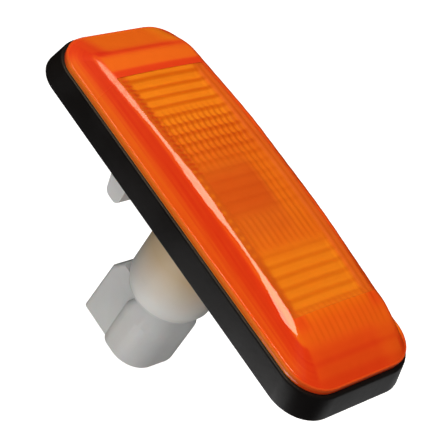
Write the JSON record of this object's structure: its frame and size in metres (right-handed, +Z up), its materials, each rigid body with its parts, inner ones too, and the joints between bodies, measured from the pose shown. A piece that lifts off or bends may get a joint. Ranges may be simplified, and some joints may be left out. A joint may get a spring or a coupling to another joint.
{
  "type": "side repeater lamp",
  "caption": "Slim rounded rectangular amber side repeater: fluted crowned lens on a flared rubber gasket, with a snap-in spigot, a barrel and a twist-in bulb holder behind.",
  "frame": {"origin": "middle of the seat plane, where the gasket's back meets the body panel, on the barrel's axis", "axes": "+X along the lamp towards its sprung arm, +Y into the body panel so that the lens faces -Y, +Z up"},
  "size_m": [0.084, 0.0476, 0.0308],
  "materials": {
    "amber_lens": "clear amber, polished outside",
    "white_housing": "natural white, slightly translucent",
    "black_rubber": "satin black",
    "white_holder": "natural white, slightly translucent",
    "bulb_glass": "clear",
    "contact_brass": "stamped"
  },
  "bodies": {
    "root": {"lens": "amber_lens", "rear_housing": "white_housing", "gasket": "black_rubber", "bulb_holder": "white_holder", "holder_seal": "black_rubber", "bulb": "bulb_glass", "contact_fore": "contact_brass", "contact_aft": "contact_brass"}
  },
  "joints": []
}
